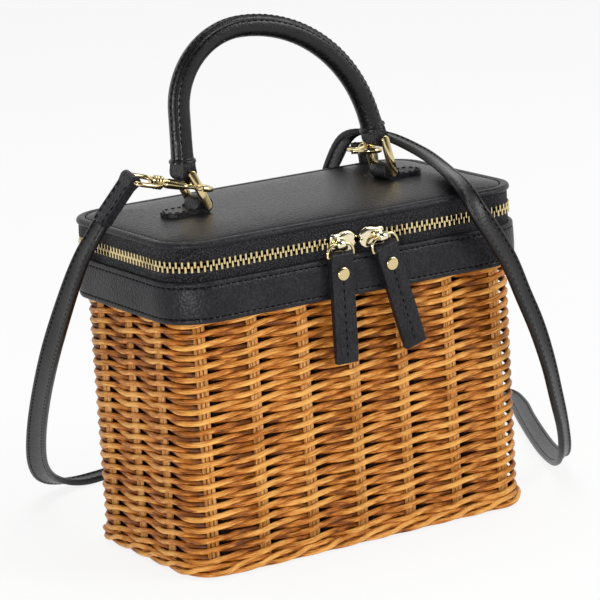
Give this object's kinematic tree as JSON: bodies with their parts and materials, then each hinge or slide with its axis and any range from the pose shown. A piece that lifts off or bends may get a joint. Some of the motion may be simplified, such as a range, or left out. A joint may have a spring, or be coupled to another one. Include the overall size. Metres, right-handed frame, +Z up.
{
  "type": "basket box bag",
  "caption": "Woven cane box bag with a leather rim band and zipped hinged lid, a rolled top handle on swinging rings, two zip pulls and a clip-on shoulder strap.",
  "frame": {"origin": "middle of the underside of the base panel, on the floor", "axes": "+X to the bag's right as the zip pulls are seen, -Y to the front with the pulls, +Z up"},
  "size_m": [0.3331, 0.2398, 0.2572],
  "materials": {
    "woven_cane": "varnished golden-brown cane",
    "black_leather": "fine-grained, softly shining",
    "lining_cloth": "plain woven cotton",
    "zip_tape": "herringbone zip tape",
    "gold_metal": "polished pale gold plate"
  },
  "bodies": {
    "basket": {"base_panel": "woven_cane", "foot_border": "woven_cane", "woven_wall": "woven_cane", "lining": "lining_cloth", "rim_facing": "black_leather", "rim_band": "black_leather", "lower_tape": "zip_tape", "lower_teeth": "gold_metal", "zip_end_stops": "gold_metal", "hinge_strip": "black_leather", "shoulder_strap": "black_leather"},
    "lid": {"lid_panel": "black_leather", "lid_lining": "lining_cloth", "upper_tape": "zip_tape", "upper_teeth": "gold_metal", "chape_left": "black_leather", "chape_right": "black_leather"},
    "ring_left": {"ring_left": "gold_metal"},
    "ring_right": {"ring_right": "gold_metal"},
    "handle": {"handle_grip": "black_leather", "handle_loop_left": "black_leather", "handle_loop_right": "black_leather"},
    "hook_left": {"hook_left": "gold_metal"},
    "hook_right": {"hook_right": "gold_metal"},
    "gate_left": {"gate_left": "gold_metal"},
    "gate_right": {"gate_right": "gold_metal"},
    "swivel_left": {"swivel_left": "gold_metal", "strap_end_left": "black_leather"},
    "swivel_right": {"swivel_right": "gold_metal", "strap_end_right": "black_leather"},
    "slider_left": {"slider_left": "gold_metal"},
    "slider_right": {"slider_right": "gold_metal"},
    "pull_ring_left": {"pull_ring_left": "gold_metal"},
    "pull_ring_right": {"pull_ring_right": "gold_metal"},
    "pull_tab_left": {"pull_tab_left": "black_leather", "rivet_left": "gold_metal"},
    "pull_tab_right": {"pull_tab_right": "black_leather", "rivet_right": "gold_metal"}
  },
  "joints": [
    {"name": "lid_hinge", "type": "hinge", "parent": "basket", "child": "lid", "pos_m": [0, 0.05545, 0.15102], "axis": [-1, 0, 0], "range_deg": [0, 90], "deforming": ["hinge_strip", "shoulder_strap"]},
    {"name": "ring_left_swing", "type": "hinge", "parent": "lid", "child": "ring_left", "pos_m": [-0.053, 0, 0.1687], "axis": [0, 1, 0], "range_deg": [0, 38], "deforming": ["shoulder_strap"]},
    {"name": "ring_right_swing", "type": "hinge", "parent": "lid", "child": "ring_right", "pos_m": [0.053, 0, 0.1687], "axis": [0, 1, 0], "range_deg": [0, 38]},
    {"name": "handle_swing", "type": "hinge", "parent": "ring_left", "child": "handle", "pos_m": [-0.0604, 0, 0.18456], "axis": [0, 1, 0], "range_deg": [-38, 0]},
    {"name": "hook_left_swing", "type": "hinge", "parent": "ring_left", "child": "hook_left", "pos_m": [-0.05744, -0.0086, 0.17822], "axis": [0, 1, 0], "range_deg": [-38, 0]},
    {"name": "hook_right_swing", "type": "hinge", "parent": "ring_right", "child": "hook_right", "pos_m": [0.05086, 0.0086, 0.17796], "axis": [0, 1, 0], "range_deg": [-38, 0]},
    {"name": "swivel_left_turn", "type": "hinge", "parent": "hook_left", "child": "swivel_left", "pos_m": [-0.05744, -0.0086, 0.17822], "axis": [-0.9673, 0, 0.2538], "range_deg": [-20, 20], "deforming": ["shoulder_strap"]},
    {"name": "swivel_right_turn", "type": "hinge", "parent": "hook_right", "child": "swivel_right", "pos_m": [0.05086, 0.0086, 0.17796], "axis": [0.4341, 0.89, -0.1392], "range_deg": [-20, 20], "deforming": ["shoulder_strap"]},
    {"name": "gate_left_slide", "type": "slide", "parent": "hook_left", "child": "gate_left", "axis": [-0.9673, 0, 0.2538], "range_m": [0, 0.003], "stiffness_N_per_m": 200},
    {"name": "gate_right_slide", "type": "slide", "parent": "hook_right", "child": "gate_right", "axis": [0.4341, 0.89, -0.1392], "range_m": [0, 0.003], "stiffness_N_per_m": 200},
    {"name": "slider_left_slide", "type": "slide", "parent": "basket", "child": "slider_left", "axis": [-1, 0, 0], "range_m": [0, 0.06], "deforming": ["lower_teeth", "upper_teeth"]},
    {"name": "slider_right_slide", "type": "slide", "parent": "basket", "child": "slider_right", "axis": [1, 0, 0], "range_m": [0, 0.06], "deforming": ["lower_teeth", "upper_teeth"]},
    {"name": "pull_ring_left_swing", "type": "hinge", "parent": "slider_left", "child": "pull_ring_left", "pos_m": [-0.0124, -0.0603, 0.15102], "axis": [-1, 0, 0], "range_deg": [0, 70]},
    {"name": "pull_ring_right_swing", "type": "hinge", "parent": "slider_right", "child": "pull_ring_right", "pos_m": [0.0114, -0.0603, 0.15102], "axis": [-0.9636, 0, -0.2672], "range_deg": [0, 70]},
    {"name": "pull_tab_left_swing", "type": "hinge", "parent": "pull_ring_left", "child": "pull_tab_left", "pos_m": [-0.0124, -0.0603, 0.14522], "axis": [-1, 0, 0], "range_deg": [0, 60]},
    {"name": "pull_tab_right_swing", "type": "hinge", "parent": "pull_ring_right", "child": "pull_tab_right", "pos_m": [0.01295, -0.0603, 0.14543], "axis": [-0.9636, 0, -0.2672], "range_deg": [0, 60]}
  ],
  "couplings": [
    {"joint": "ring_right_swing", "follows": "ring_left_swing", "ratio": 1},
    {"joint": "handle_swing", "follows": "ring_left_swing", "ratio": -0.9673},
    {"joint": "hook_left_swing", "follows": "ring_left_swing", "ratio": -1},
    {"joint": "hook_right_swing", "follows": "ring_left_swing", "ratio": -1}
  ]
}
